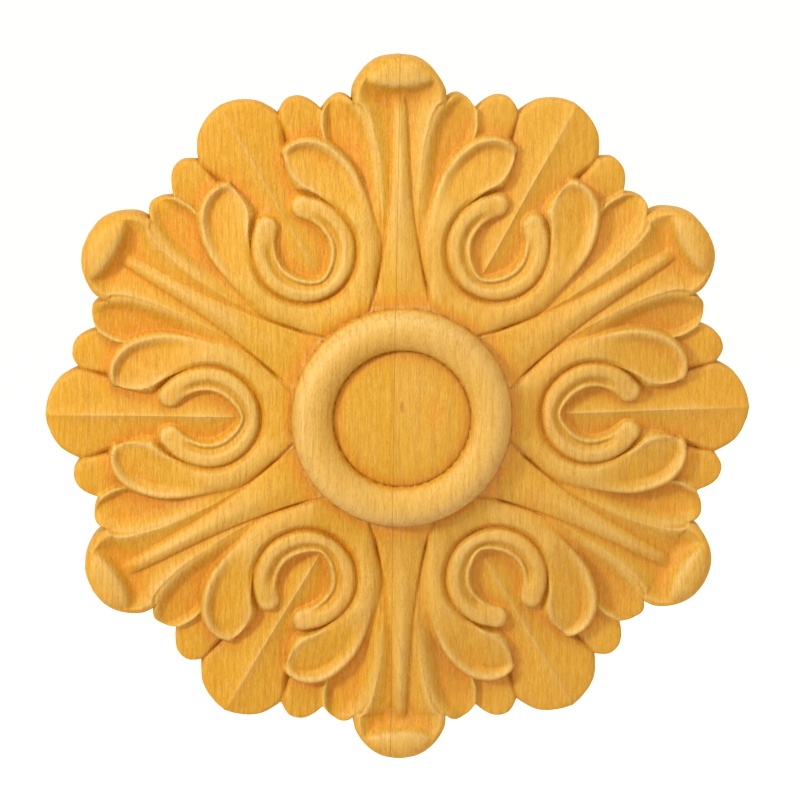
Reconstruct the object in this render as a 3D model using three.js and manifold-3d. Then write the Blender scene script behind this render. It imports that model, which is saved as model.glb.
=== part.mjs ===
// A carved wooden rosette with six curled leaves around a ring and a domed button.
// It is one carved piece with a flat back, upright on its wall: the back lies in the plane Y = 0,
// the carving faces -Y, and the first main leaf points up, along +Z. Lengths are millimetres.
import * as THREE from 'three';
import { mergeVertices } from 'three/addons/utils/BufferGeometryUtils.js';
import Module from 'manifold-3d';

const wasm = await Module();
wasm.setup();

// Driving sizes
const leafCount = 6;
const tipRadius = 150;
const totalDepth = 37;
const edgeThickness = 9.5;
const ringOuterRadius = 46.8;
const ringInnerRadius = 29.6;
const ringCreaseDepth = 6.5;
const buttonRise = 2.6;

// Steps of the faceted model
const ringSides = 42;
const ringSectionSteps = 6;
const coreSidesPerLeaf = 4;
const knobSides = 6;
const fingerSides = 4;
const smallTipSides = 4;
const plainLeafSides = 5;
const buttonSteps = 3;
const mergeDistance = 1e-4;

const leafAngle = (2 * Math.PI) / leafCount;
const halfAngle = leafAngle / 2;

// Plan points are given as [across, along] the main leaf's axis, in hundredths of the tip radius.
// They are drawn for six leaves, and another count opens or closes them like a fan.
const drawnLeafCount = 6;
function planPoint([across, along]) {
  const radius = (Math.hypot(across, along) * tipRadius) / 100;
  const angle = (Math.atan2(across, along) * drawnLeafCount) / leafCount;
  return new THREE.Vector2(radius * Math.sin(angle), radius * Math.cos(angle));
}

// The leaves start under the ring's outer foot
const rootCover = 1.5;
const rootPlace = (100 * (ringOuterRadius - rootCover)) / tipRadius;
function ringPoint(degrees) {
  const angle = THREE.MathUtils.degToRad(degrees);
  return [rootPlace * Math.sin(angle), rootPlace * Math.cos(angle)];
}

// How far a lobe stops short of a groove, runs under a higher neighbour, or runs past the blank's edge
const grooveGap = 0.25;
const overrun = 0.7;
const tuckedUnderScroll = 0.07;

// Carved heights are given in hundredths of the relief, which runs from the edge to the ring's crest.
const reliefHeight = (share) => edgeThickness + ((totalDepth - edgeThickness) * share) / 100;
const ringFootShare = 64;

// The lines that the carver draws first: half of one main leaf, from its axis to the plain leaf's axis.
const stemGroove = [[8.8, 30], [6.5, 39], [5.2, 46], [4.2, 53], [3.3, 61], [2.8, 70.5], [2.5, 80], [2, 88.5]];
const leafRidge = [[5.4, 40], [4.9, 50], [5.2, 62], [6.2, 72.5], [8.2, 81], [11.3, 86.4], [13.1, 87.7]];
const knobEdge = [[12.9, 90.6], [11.5, 93.6], [8.5, 97.2], [5.2, 99.2], [0, 100]];
const fingerEdge = [[14.7, 88.9], [16.8, 89.2], [19.5, 87.6], [21.6, 84.9]];
const fingerGroove = [[7.6, 39.5], [7.9, 45], [8.7, 51.4], [10, 59.5], [12.4, 65.4], [16.3, 71],
  [20.2, 75], [21.8, 79], [22, 82.5]];
const smallTipEdge = [[23.2, 86.4], [25.8, 88], [28.3, 88.5], [31.3, 87.5], [33.8, 83.6]];
const cupFoot = [ringPoint(30), ringPoint(23), ringPoint(16.5), [7.2, 37], [7, 42], [7.4, 48], [8.3, 55.5],
  [10.2, 62.5], [13.4, 69], [17.2, 73.6]];
const cupTop = [[20.9, 76.6], [24.3, 77.9], [28.2, 78], [31.7, 76.2], [34, 72.5]];
const hookSide = [[30.6, 66.3], [32.2, 69.5], [34, 72.5]];
const scrollRim = [[19.8, 34.2], [15.8, 38.4], [13.3, 43.2], [12.9, 46.6], [13.3, 49.8], [15.3, 54.5],
  [18.4, 58.5], [21.8, 61.3], [25.4, 62.6], [28.7, 63.2]];
const armEnd = [[30.8, 61.3], [31.2, 59.3]];
const eyeCentre = [27.5, 47.6];
const eyeRim = [[23, 39.8], [20.6, 42.2], [19.2, 45.6], [19.5, 49.2], [21.7, 52.2], [25.1, 54.8],
  [28.2, 56.6], [30.3, 57.8]];

// The plain leaf is drawn about its own axis, half a leaf angle from the main leaf's.
const plainLeafEdge = [[12.9, 89.1], [12.5, 90.4], [9.9, 94.7], [6.8, 97.1], [3.4, 98.6], [0, 99.2]];

// Values between stops, given as pairs of place and value in rising order of place
function between(stops) {
  return (place) => {
    const next = stops.findIndex(([stop]) => stop >= place);
    if (next === -1) return stops[stops.length - 1][1];
    if (next === 0) return stops[0][1];
    const [start, startValue] = stops[next - 1];
    const [end, endValue] = stops[next];
    return THREE.MathUtils.mapLinear(place, start, end, startValue, endValue);
  };
}

// A smooth line through plan points
function planLine(points) {
  const flat = points.map(planPoint);
  const line = new THREE.CatmullRomCurve3(flat.map(({ x, y }) => new THREE.Vector3(x, y, 0)));
  return (share) => line.getPointAt(share);
}

// Points turned about the centre, as from the main leaf's axis to the plain leaf's
const centreLine = new THREE.Vector3(0, 0, 1);
const turned = (points, angle) => points.map((point) => point.clone().applyAxisAngle(centreLine, angle));
const turnedRows = (rows, angle) => rows.map((row) => turned(row, angle));

// Points on the other side of the main leaf's axis
const mirrored = (points) => points.map(({ x, y, z }) => new THREE.Vector3(-x, y, z));

// A closed body under a carved surface: rows of points from the root to the tip, each from the
// left edge to the right edge, with the same rows again at the buried level.
function bodyUnder(rows, buried) {
  const across = rows[0].length;
  const positions = [];
  for (const level of ['top', 'bottom']) {
    for (const row of rows) {
      for (const { x, y, z } of row) {
        positions.push(x, y, level === 'top' ? z : buried);
      }
    }
  }
  const top = (row, column) => row * across + column;
  const bottom = (row, column) => rows.length * across + top(row, column);
  const faces = [];
  const quad = (a, b, c, d) => faces.push(a, b, c, a, c, d);
  const last = across - 1;
  const end = rows.length - 1;
  for (let row = 0; row < end; row += 1) {
    const next = row + 1;
    for (let column = 0; column < last; column += 1) {
      quad(top(row, column), top(row, column + 1), top(next, column + 1), top(next, column));
      quad(bottom(row, column), bottom(next, column), bottom(next, column + 1), bottom(row, column + 1));
    }
    quad(top(row, 0), top(next, 0), bottom(next, 0), bottom(row, 0));
    quad(bottom(row, last), bottom(next, last), top(next, last), top(row, last));
  }
  for (let column = 0; column < last; column += 1) {
    quad(bottom(0, column), bottom(0, column + 1), top(0, column + 1), top(0, column));
    quad(top(end, column), top(end, column + 1), bottom(end, column + 1), bottom(end, column));
  }
  const geometry = new THREE.BufferGeometry();
  geometry.setAttribute('position', new THREE.Float32BufferAttribute(positions, 3));
  geometry.setIndex(faces);
  return geometry;
}

// A lobe between two drawn lines, with its height given by the share along and the share across
function lobeBetween({ left, right, alongStops, acrossStops, height }) {
  return alongStops.map((along) => acrossStops.map((across) => {
    const point = new THREE.Vector3().lerpVectors(left(along), right(along), across);
    point.z = reliefHeight(height(along, across));
    return point;
  }));
}

// A lobe about a straight axis, with its half width and height given by the place along the axis
function lobeOnAxis({ alongStops, acrossStops, halfWidth, height }) {
  return alongStops.map((along) => acrossStops.map((across) => {
    const { x, y } = planPoint([across * halfWidth(along), along]);
    return new THREE.Vector3(x, y, reliefHeight(height(along, across)));
  }));
}

// Plan points drawn in towards a centre, so that one lobe runs under another
const tuckedTowards = (centre, points) => points.map((point) => point.map(
  (value, i) => THREE.MathUtils.lerp(value, centre[i], tuckedUnderScroll),
));

const evenly = (count) => Array.from({ length: count + 1 }, (_, i) => i / count);
const mirroredStops = (stops) => [...stops.map((stop) => -stop).reverse(), 0, ...stops];
const arch = (across) => 1 - (2 * across - 1) ** 2;

// Half width of a lobe, from its edge line and the place along its axis
const widthFrom = (edge) => between(edge.map(([across, along]) => [along, across]));

// Depth of the bodies under the carved surfaces, inside the blank's edge
const buriedLevel = edgeThickness / 3;

// The stem on the main leaf's axis, flat on top with bevelled sides
function stem() {
  const root = [rootPlace, ringFootShare];
  const top = between([root, [35, 61], [46, 57], [57, 53], [71, 42], [84, 29], [90, 20]]);
  const bevel = between([[rootPlace, 2], [46, 9], [71, 9], [84, 6], [90, 1]]);
  const stemWidth = widthFrom(stemGroove);
  return lobeOnAxis({
    alongStops: [rootPlace, 38, 48, 62, 78, 90],
    acrossStops: mirroredStops([0.55, 1]),
    halfWidth: (along) => stemWidth(along) - grooveGap,
    height: (along, across) => top(along) - (Math.abs(across) === 1 ? bevel(along) : 0),
  });
}

// The main leaf: two channels beside the stem, and the tip rolled up into a knob
function mainLeaf() {
  const floor = between([[38, 45], [46, 43], [56, 40], [70, 29], [80, 20], [88, 18], [92, 14], [100, 0]]);
  const ridge = between([[38, 46], [46, 47], [56, 45], [68, 38], [78, 29], [84, 22], [87.7, 4], [100, 0]]);
  const knob = between([[86, 0], [88.3, 16], [90, 29], [92, 39], [93.5, 41], [96, 35], [98, 22], [100, 2]]);
  const leafWidth = widthFrom([...leafRidge, ...knobEdge.slice(0, -1), [1, 100]]);
  return lobeOnAxis({
    alongStops: [38, 60, 80, 86.5, 88.5, 91, 93.5, 96.3, 98.6, 100.4],
    acrossStops: mirroredStops([0.45, 0.85, 1]),
    halfWidth: (along) => leafWidth(along) + overrun,
    height: (along, across) => Math.max(
      floor(along) + (ridge(along) - floor(along)) * across ** 2,
      knob(along) * Math.sqrt(1 - across ** 4),
    ),
  });
}

// The finger beside the knob, a narrow scoop with raised rims
function finger() {
  const leftRim = between([[0, 47], [0.2, 46], [0.4, 42], [0.6, 33], [0.8, 24], [0.92, 12], [1, 2]]);
  const rightRim = between([[0, 44], [0.2, 42], [0.4, 34], [0.6, 24], [0.75, 14], [0.9, 7], [1, 2]]);
  const hollow = between([[0, 0], [0.2, 2], [0.4, 7], [0.6, 11], [0.8, 11], [0.93, 4], [1, 0]]);
  return lobeBetween({
    left: planLine([...leafRidge, [14.5, 90.5]]),
    right: planLine([...fingerGroove, [21.8, 85.5], [20, 90]]),
    alongStops: [0, 0.35, 0.6, 0.8, 0.92, 1],
    acrossStops: [0, 0.25, 0.75, 1],
    height: (along, across) => THREE.MathUtils.lerp(leftRim(along), rightRim(along), across)
      - hollow(along) * arch(across),
  });
}

// The small flat tip that lies lowest, under the cup
function smallTip() {
  const crown = between([[0, 8], [0.6, 7], [0.85, 4], [1, 0]]);
  const side = between([[0, 2], [0.6, 0], [1, -2]]);
  return lobeBetween({
    left: planLine([[20.4, 74], [21.2, 81.5], [21.5, 84.9], [24, 90]]),
    right: planLine([[31, 74], [32.2, 78.5], [33.4, 83.6], [33, 90]]),
    alongStops: [0, 0.6, 0.85, 1],
    acrossStops: evenly(2),
    height: (along, across) => side(along) + (crown(along) - side(along)) * arch(across),
  });
}

// The cup: a broad band beside the scroll that opens into a hollow with a hooked tip
function cup() {
  const root = [0, ringFootShare];
  const leftRim = between([root, [0.12, 58], [0.3, 45], [0.6, 38], [0.72, 31], [0.85, 24], [1, 19]]);
  const rightRim = between([[0, 47], [0.3, 43], [0.45, 40], [0.6, 37], [0.75, 33], [0.88, 29], [1, 20]]);
  const swell = between([[0, 10], [0.3, 16], [0.45, 12], [0.6, -2], [0.7, -12], [0.82, -15], [1, 0]]);
  return lobeBetween({
    left: planLine([...cupFoot, ...cupTop]),
    right: planLine([...tuckedTowards(eyeCentre, scrollRim), ...hookSide]),
    alongStops: [0, 0.12, 0.24, 0.36, 0.48, 0.58, 0.68, 0.77, 0.85, 0.92, 0.97, 0.995],
    acrossStops: [0, 0.25, 0.7, 1],
    height: (along, across) => THREE.MathUtils.lerp(leftRim(along), rightRim(along), across)
      + swell(along) * arch(across),
  });
}

// The C-shaped scroll around the eye, from one blunt arm end to the other
function scroll() {
  const outer = between([[0, 45], [0.3, 42], [0.6, 34], [0.85, 22], [1, 16]]);
  const crest = between([[0, 61], [0.3, 59], [0.6, 49], [0.85, 36], [0.95, 31], [1, 22]]);
  const lip = between([[0, 47], [0.3, 45], [0.6, 35], [0.85, 22], [1, 18]]);
  const section = between([[0, 0.1], [0.18, 0.85], [0.5, 0.95], [0.85, 0.15], [1, 0]]);
  const half = lobeBetween({
    left: planLine([...scrollRim, ...armEnd]),
    right: planLine(eyeRim),
    alongStops: [0, 0.16, 0.32, 0.48, 0.64, 0.82, 0.94, 1],
    acrossStops: [0, 0.18, 0.5, 0.85, 1],
    height: (along, across) => {
      const base = THREE.MathUtils.lerp(outer(along), lip(along), across);
      return base + (crest(along) - base) * section(across);
    },
  });
  const leftArm = turnedRows(half, halfAngle);
  const rightArm = leftArm.slice(1).map(mirrored);
  return turnedRows([...rightArm.reverse(), ...leftArm], -halfAngle);
}

// The plain leaf between two main leaves, with a crisp ridge down its middle
function plainLeaf() {
  const ridge = between([[40, 41], [46, 40], [56, 34], [65, 20], [75, 13], [90, 9], [97, 6], [100, 1]]);
  const side = widthFrom([[9, 33], [10, 74], [10.4, 81], ...plainLeafEdge.slice(0, -1), [2, 99.5]]);
  const rows = lobeOnAxis({
    alongStops: [40, 56, 65, 75, 88.8, 91, 95, 98, 100],
    acrossStops: mirroredStops([1]),
    halfWidth: (along) => side(along) + (along < plainLeafEdge[0][1] ? -grooveGap : overrun),
    height: (along, across) => ridge(along) - 6 * Math.abs(across),
  });
  return turnedRows(rows, -halfAngle);
}

// The wood under the carving, which the grooves never cut through
function core() {
  const profile = [[0, 60], [rootPlace, 60], [38, 43], [60, 24], [76, 0], [101, -4]];
  const top = profile.map(([along, share]) =>
    new THREE.Vector2(planPoint([0, along]).y, reliefHeight(share)));
  const outer = top[top.length - 1].x;
  const back = [new THREE.Vector2(0, 0), new THREE.Vector2(outer, 0)];
  return standing([...back, ...top.reverse()], leafCount * coreSidesPerLeaf);
}

// The ring and the low domed button inside it
function ringAndButton() {
  const middle = (ringOuterRadius + ringInnerRadius) / 2;
  const halfWidth = (ringOuterRadius - ringInnerRadius) / 2;
  const creaseHeight = totalDepth - ringCreaseDepth;
  const section = Array.from({ length: ringSectionSteps + 1 }, (_, i) => {
    const angle = (Math.PI * i) / ringSectionSteps;
    const share = (1 + Math.cos(angle)) / 2;
    const base = THREE.MathUtils.lerp(creaseHeight, reliefHeight(ringFootShare), share);
    const rise = (totalDepth - base) * Math.sin(angle);
    return new THREE.Vector2(middle + halfWidth * Math.cos(angle), base + rise);
  });
  const button = Array.from({ length: buttonSteps }, (_, i) => {
    const share = 1 - (i + 1) / buttonSteps;
    return new THREE.Vector2(ringInnerRadius * share, creaseHeight + buttonRise * (1 - share ** 2));
  });
  const foot = [new THREE.Vector2(0, buriedLevel), new THREE.Vector2(ringOuterRadius, buriedLevel)];
  return standing([...foot, ...section, ...button], ringSides);
}

// A turned body whose axis is the plan's height
function standing(profile, sides) {
  const geometry = new THREE.LatheGeometry(profile, sides);
  geometry.rotateX(Math.PI / 2);
  return geometry;
}

// The sawn blank: every leaf's outline, right through the piece
function blank() {
  const arcs = (points, count) => {
    const line = planLine(points);
    return evenly(count).slice(1).map(line);
  };
  const knobNotch = leafRidge[leafRidge.length - 1];
  const fingerNotch = fingerEdge[fingerEdge.length - 1];
  const knobArc = arcs([knobNotch, ...knobEdge], knobSides);
  const tip = knobArc.pop();
  const half = [
    ...knobArc.reverse(),
    planLine([knobNotch, fingerNotch])(0),
    ...arcs([knobNotch, ...fingerEdge], fingerSides),
    ...arcs([fingerNotch, ...smallTipEdge], smallTipSides),
    ...turned(mirrored(arcs(plainLeafEdge, plainLeafSides)), -halfAngle),
  ];
  const leaf = [...mirrored(half.slice(0, -1)).reverse(), tip, ...half];
  const outline = [];
  for (let i = 0; i < leafCount; i += 1) {
    outline.push(...turned(leaf, -i * leafAngle));
  }
  const shape = new THREE.Shape(outline.map(({ x, y }) => new THREE.Vector2(x, y)));
  const geometry = new THREE.ExtrudeGeometry(shape, { depth: 2 * totalDepth, bevelEnabled: false });
  return geometry.translate(0, 0, -totalDepth / 2);
}

// A closed geometry as a solid for joining and cutting
function solidFrom(geometry) {
  const plain = geometry.clone();
  plain.deleteAttribute('normal');
  plain.deleteAttribute('uv');
  const merged = mergeVertices(plain, mergeDistance);
  const index = merged.index.array;
  const places = merged.attributes.position.array;
  const faces = [];
  let volume = 0;
  for (let i = 0; i < index.length; i += 3) {
    const [a, b, c] = [index[i], index[i + 1], index[i + 2]];
    if (a === b || b === c || c === a) continue;
    faces.push([a, b, c]);
    const corners = [a, b, c].map((v) => new THREE.Vector3().fromArray(places, 3 * v));
    volume += corners[0].dot(corners[1].cross(corners[2]));
  }
  const outward = volume < 0 ? faces.map(([a, b, c]) => [a, c, b]) : faces;
  return new wasm.Manifold(new wasm.Mesh({
    numProp: 3,
    vertProperties: new Float32Array(places),
    triVerts: new Uint32Array(outward.flat()),
  }));
}

// Every carved body of one leaf
function leafBodies() {
  const halves = [smallTip(), finger(), cup()];
  const otherHalves = halves.map((rows) => rows.map(mirrored));
  const lobes = [mainLeaf(), plainLeaf(), scroll(), stem(), ...halves, ...otherHalves];
  return lobes.map((rows) => bodyUnder(rows, buriedLevel));
}

function rosetteGeometry() {
  let carved = solidFrom(core()).add(solidFrom(ringAndButton()));
  for (const body of leafBodies()) {
    for (let i = 0; i < leafCount; i += 1) {
      const geometry = body.clone().rotateZ(-i * leafAngle);
      carved = carved.add(solidFrom(geometry));
    }
  }
  const { vertProperties, triVerts } = carved.intersect(solidFrom(blank())).getMesh();
  const geometry = new THREE.BufferGeometry();
  geometry.setAttribute('position', new THREE.BufferAttribute(new Float32Array(vertProperties), 3));
  geometry.setIndex(new THREE.BufferAttribute(new Uint32Array(triVerts), 1));
  geometry.computeVertexNormals();
  return geometry;
}

const beech = new THREE.MeshStandardMaterial({ color: 0xecab45, roughness: 0.55, metalness: 0 });
beech.flatShading = true;

const rosette = new THREE.Mesh(rosetteGeometry(), beech);
rosette.name = 'rosette';
rosette.rotation.x = Math.PI / 2;

const part = new THREE.Group();
part.add(rosette);
export default part;
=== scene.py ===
"""A carved beech rosette, standing upright, with a pale floor and soft studio light."""
import math

import bmesh
import bpy
import numpy as np
from bpy.props import FloatProperty, FloatVectorProperty, IntProperty, PointerProperty
from mathutils import Matrix, Vector
from mathutils.bvhtree import BVHTree


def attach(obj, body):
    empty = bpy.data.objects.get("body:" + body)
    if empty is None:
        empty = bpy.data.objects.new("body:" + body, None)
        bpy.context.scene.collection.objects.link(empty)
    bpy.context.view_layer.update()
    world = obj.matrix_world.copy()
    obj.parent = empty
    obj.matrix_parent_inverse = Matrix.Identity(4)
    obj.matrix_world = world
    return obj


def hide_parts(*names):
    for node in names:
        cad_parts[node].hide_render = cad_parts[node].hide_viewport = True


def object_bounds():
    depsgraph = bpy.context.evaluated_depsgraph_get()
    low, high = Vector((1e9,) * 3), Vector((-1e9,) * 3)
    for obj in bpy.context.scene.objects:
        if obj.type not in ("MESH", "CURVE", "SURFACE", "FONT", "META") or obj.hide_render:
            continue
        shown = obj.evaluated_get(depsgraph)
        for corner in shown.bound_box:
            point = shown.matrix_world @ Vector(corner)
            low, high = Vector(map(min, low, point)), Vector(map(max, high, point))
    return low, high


bl_info = {
    "name": "Carved Rosette",
    "version": (1, 0, 0),
    "blender": (4, 5, 0),
    "location": "View3D > Sidebar > Rosette",
    "description": "A beech rosette with six curled leaves around a ring, and a studio to look at it in",
    "category": "Add Mesh",
}

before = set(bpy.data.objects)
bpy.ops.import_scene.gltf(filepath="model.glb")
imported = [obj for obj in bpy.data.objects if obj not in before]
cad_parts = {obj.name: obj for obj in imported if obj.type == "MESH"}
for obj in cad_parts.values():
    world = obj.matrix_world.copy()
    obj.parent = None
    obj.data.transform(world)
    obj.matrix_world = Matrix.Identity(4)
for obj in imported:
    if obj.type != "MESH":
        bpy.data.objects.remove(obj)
frame_low, frame_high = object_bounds()

mm = 0.001

# The leaves are drawn in hundredths of the tip radius, as [across, along] the main leaf's axis.
# Carved levels are in hundredths of the relief, from the blank's edge up to the ring's crest.
leaf_count = 6
leaf_angle = math.tau / leaf_count
half_angle = leaf_angle / 2

stem_groove = [[8.8, 30], [6.5, 39], [5.2, 46], [4.2, 53], [3.3, 61], [2.8, 70.5], [2.5, 80], [2, 88.5]]
leaf_ridge = [[5.4, 40], [4.9, 50], [5.2, 62], [6.2, 72.5], [8.2, 81], [11.3, 86.4], [13.1, 87.7]]
knob_edge = [[12.9, 90.6], [11.5, 93.6], [8.5, 97.2], [5.2, 99.2], [0, 100]]
finger_edge = [[14.7, 88.9], [16.8, 89.2], [19.5, 87.6], [21.6, 84.9]]
finger_groove = [[7.6, 39.5], [7.9, 45], [8.7, 51.4], [10, 59.5], [12.4, 65.4], [16.3, 71],
                 [20.2, 75], [21.8, 79], [22, 82.5]]
small_tip_edge = [[23.2, 86.4], [25.8, 88], [28.3, 88.5], [31.3, 87.5], [33.8, 83.6]]
cup_side = [[6.9, 38], [5.6, 44], [5.3, 48], [5.9, 51.5], [7.3, 56], [9.6, 62.5], [12.8, 69], [16.6, 73.4]]
cup_top = [[20.4, 76.2], [23.9, 77.3], [27.6, 77.2], [31, 75.7], [33.2, 73.6]]
cup_foot = [[19.8, 34.2], [15.7, 38.4], [13.5, 43.2], [12.9, 48], [14.1, 52.9], [17.3, 57.4], [21.3, 60.9]]
hook_side = [[24.8, 63.3], [27.6, 64.7], [29.8, 67], [31.3, 69.8], [32.4, 72.6]]
scroll_line = [[21.1, 36.6], [18.5, 39], [16.7, 42.6], [16.1, 46.8], [16.9, 50.8], [19.5, 54.6],
               [23.2, 57.3], [27, 58.5]]

# The plain leaf is drawn about its own axis, half a leaf angle from the main leaf's
plain_leaf_edge = [[12.9, 89.1], [12.5, 90.4], [9.9, 94.7], [6.8, 97.1], [3.4, 98.6], [0, 99.2]]
plain_leaf_side = [[9, 33], [10, 74], [10.4, 81], *plain_leaf_edge[:-1], [2, 99.5]]

# Widths of the surroundings that a groove and a valley are measured against
near_width = 1.3 * mm
wide_width = 5 * mm

# Faces that meet at more than this angle have a sharp edge between them
sharp_angle = math.radians(55)

# The joint between the two boards leans by this much for each metre of depth and of height
joint_place = 0.47 * mm
joint_lean_deep = -0.0928
joint_lean_up = -0.0143
joint_half_width = 0.26 * mm

# Width of a growth ring, how far it wanders, and the spacing of the saw's marks
year_width = 1.7 * mm
year_sway = 1.2 * mm
saw_pitch = 0.45 * mm

# Two marks on the button, as the place across and up and the half size
reddish_mark = (-0.2 * mm, 5.6 * mm), (1.0 * mm, 3.4 * mm)
orange_patch = (14.4 * mm, 2.9 * mm), (5.0 * mm, 10.0 * mm)

# Places, sizes and colours of the two lights, the warm sky, and half the side of the floor
key_place = (-1.2, -0.95, 0.6)
key_size = 0.3
key_colour = (0.96, 1, 0.94)
top_place = (0.1, -0.75, 1.3)
top_size = 0.9
top_colour = (0.9, 1, 1)
sky_colour = (1, 0.81, 0.665, 1)
floor_reach = 40


class RosetteSizes(bpy.types.PropertyGroup):
    """Sizes of the rosette."""

    tip_radius: FloatProperty(
        name="Tip Radius", description="From the centre to the tip of a main leaf",
        default=frame_high.z, min=0.02, unit="LENGTH")
    depth: FloatProperty(
        name="Depth", description="From the flat back to the ring's crest",
        default=-frame_low.y, min=0.005, unit="LENGTH")
    edge: FloatProperty(
        name="Edge", description="Thickness of the wood at the leaves' edges",
        default=9.5 * mm, min=0.001, unit="LENGTH")
    ring_outer: FloatProperty(
        name="Ring Outer Radius", description="Foot of the ring, on the leaves",
        default=46.3 * mm, min=0.005, unit="LENGTH")
    ring_inner: FloatProperty(
        name="Ring Inner Radius", description="Crease between the ring and the button",
        default=29.0 * mm, min=0.005, unit="LENGTH")
    crease: FloatProperty(
        name="Crease Depth", description="How far the crease lies below the ring's crest",
        default=6.5 * mm, min=0.0, unit="LENGTH")
    button_rise: FloatProperty(
        name="Button Rise", description="How far the domed button rises above the crease",
        default=2.6 * mm, min=0.0, unit="LENGTH")
    groove_softness: FloatProperty(
        name="Groove Softness", description="Width over which two carved forms run into each other",
        default=1.2 * mm, min=0.0, unit="LENGTH")
    knob_softness: FloatProperty(
        name="Knob Softness", description="Width over which the rolled tip runs into the leaf",
        default=2.0 * mm, min=0.0, unit="LENGTH")
    edge_round: FloatProperty(
        name="Edge Rounding", description="Rounding of the arris between the carving and the side",
        default=1.1 * mm, min=0.0, unit="LENGTH")
    chisel_step: FloatProperty(
        name="Chisel Step", description="Distance between points of the carving before it is thinned",
        default=0.42 * mm, min=0.0002, unit="LENGTH")
    face_count: IntProperty(
        name="Face Count", description="Triangles of half a leaf",
        default=15600, min=1000)


class BeechColours(bpy.types.PropertyGroup):
    """Colours of the oiled beech."""

    honey: FloatVectorProperty(
        name="Honey", description="The wood's main colour",
        default=(0.320, 0.170, 0.004), min=0.0, max=1.0, size=3, subtype="COLOR")
    # Crest is laid as worn paler wood on raised parts and as pale grain strokes, and also as painted
    # highlight on thin rims and painted light on the eye's floor
    crest: FloatVectorProperty(
        name="Crest", description="Paler wood on rubbed crests",
        default=(0.348, 0.228, 0.060), min=0.0, max=1.0, size=3, subtype="COLOR")
    # Hollow is laid in the hollows as staining with painted shade, and as the orange patch on the button
    hollow: FloatVectorProperty(
        name="Hollow", description="Stain that stays in the hollows",
        default=(0.385, 0.127, 0.0), min=0.0, max=1.0, size=3, subtype="COLOR")
    # Crevice is laid down the narrow grooves as staining with painted shade, and marks the joint line on
    # the sawn back
    crevice: FloatVectorProperty(
        name="Crevice", description="Darkest stain, down in the narrow grooves",
        default=(0.350, 0.090, 0.0), min=0.0, max=1.0, size=3, subtype="COLOR")
    fleck: FloatVectorProperty(
        name="Fleck", description="Short ray flecks along the grain",
        default=(0.175, 0.055, 0.003), min=0.0, max=1.0, size=3, subtype="COLOR")
    sawn: FloatVectorProperty(
        name="Sawn Back", description="Bare wood on the flat back",
        default=(0.30, 0.195, 0.095), min=0.0, max=1.0, size=3, subtype="COLOR")


class StudioSettings(bpy.types.PropertyGroup):
    """Camera, light and floor."""

    azimuth: FloatProperty(
        name="Azimuth", description="Camera's turn round the upright axis",
        default=math.radians(-3.5), subtype="ANGLE")
    elevation: FloatProperty(
        name="Elevation", description="Camera's height above the horizon",
        default=math.radians(10.0), subtype="ANGLE")
    roll: FloatProperty(
        name="Roll", description="Camera's turn about its own view",
        default=math.radians(0.0), subtype="ANGLE")
    lens: FloatProperty(
        name="Lens", description="Focal length in millimetres",
        default=200.0, min=20.0)
    view_width: FloatProperty(
        name="View Width", description="Width of the view at the rosette",
        default=338.4 * mm, min=0.05, unit="LENGTH")
    aim_right: FloatProperty(
        name="Aim Right", description="How far the view's centre lies to the right of the rosette's",
        default=0.7 * mm, unit="LENGTH")
    aim_up: FloatProperty(
        name="Aim Up", description="How far the view's centre lies above the rosette's",
        default=3.5 * mm, unit="LENGTH")
    floor_drop: FloatProperty(
        name="Floor Drop", description="How far the floor lies below the rosette's centre",
        default=1.0, min=0.2, unit="LENGTH")
    key_energy: FloatProperty(
        name="Key Light", description="Power of the light at the left",
        default=30.0, min=0.0, unit="POWER")
    top_energy: FloatProperty(
        name="Top Light", description="Power of the wide light above the rosette",
        default=18.0, min=0.0, unit="POWER")
    sky_strength: FloatProperty(
        name="Sky Strength", description="Brightness of the warm surroundings, which show as white",
        default=1.56, min=0.0)


def profile(*stops):
    """A smooth level between stops, given as pairs of place and level, that never overshoots them."""
    place, level = np.array(stops, float).T
    slope = np.diff(level) / np.diff(place)
    same_way = slope[:-1] * slope[1:] > 0
    mean = 2 * slope[:-1] * slope[1:] / np.where(same_way, slope[:-1] + slope[1:], 1)
    tangent = np.concatenate([slope[:1], np.where(same_way, mean, 0), slope[-1:]])

    def at(x):
        x = np.clip(x, place[0], place[-1])
        i = np.clip(np.searchsorted(place, x) - 1, 0, len(slope) - 1)
        width = place[i + 1] - place[i]
        t = (x - place[i]) / width
        start = (1 + 2 * t) * (1 - t) ** 2 * level[i] + t * (1 - t) ** 2 * width * tangent[i]
        end = t * t * (3 - 2 * t) * level[i + 1] + t * t * (t - 1) * width * tangent[i + 1]
        return start + end

    return at


def smooth_line(points, lead=(), samples=24):
    """A line through plan points by the share of its length; a negative share runs into the lead."""
    p = np.array([*lead, *points], float)
    p = np.concatenate([[2 * p[0] - p[1]], p, [2 * p[-1] - p[-2]]])
    t = np.linspace(0, 1, samples, endpoint=False)[:, None]
    pieces = []
    for a, b, c, d in zip(p, p[1:], p[2:], p[3:]):
        ab, bc, cd = (math.sqrt(np.linalg.norm(v)) for v in (b - a, c - b, d - c))
        out = ((b - a) / ab - (c - a) / (ab + bc) + (c - b) / bc) * bc
        into = ((c - b) / bc - (d - b) / (bc + cd) + (d - c) / cd) * bc
        pieces.append((1 + 2 * t) * (1 - t) ** 2 * b + t * (1 - t) ** 2 * out
                      + t * t * (3 - 2 * t) * c + t * t * (t - 1) * into)
    line = np.concatenate([*pieces, p[-2:-1]])
    length = np.concatenate([[0], np.cumsum(np.linalg.norm(np.diff(line, axis=0), axis=1))])
    start = length[len(lead) * samples]
    share = (length - start) / (length[-1] - start)
    return lambda s: np.stack([np.interp(s, share, line[:, k]) for k in (0, 1)], axis=-1)


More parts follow.
